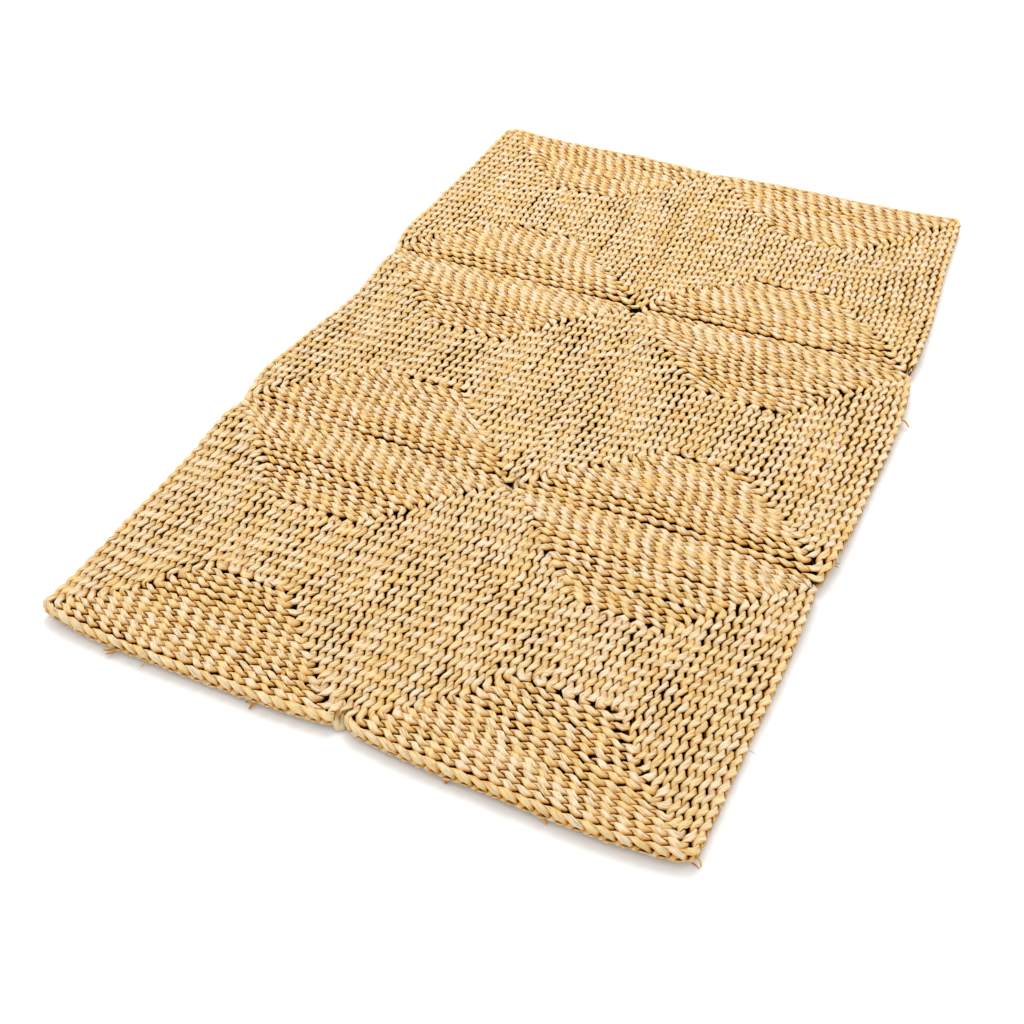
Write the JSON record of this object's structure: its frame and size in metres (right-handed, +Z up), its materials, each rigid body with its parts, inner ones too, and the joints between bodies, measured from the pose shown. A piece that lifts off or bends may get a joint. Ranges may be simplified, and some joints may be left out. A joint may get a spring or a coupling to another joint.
{
  "type": "corn husk rug",
  "caption": "Flat rectangular rug of square panels, each wound from a braided corn husk plait set on edge and laced side by side.",
  "frame": {"origin": "on the floor, at the middle of the rug's bounding box", "axes": "+Y along the rug's length, towards the edge that is far away in the picture; +Z up out of the face"},
  "size_m": [0.6358, 0.9684, 0.0235],
  "materials": {
    "corn_husk": "matt, slightly silky dried husk"
  },
  "bodies": {
    "root": {"panel_front_left": "corn_husk", "panel_front_right": "corn_husk", "panel_middle_left": "corn_husk", "panel_middle_right": "corn_husk", "panel_back_left": "corn_husk", "panel_back_right": "corn_husk"}
  },
  "joints": []
}
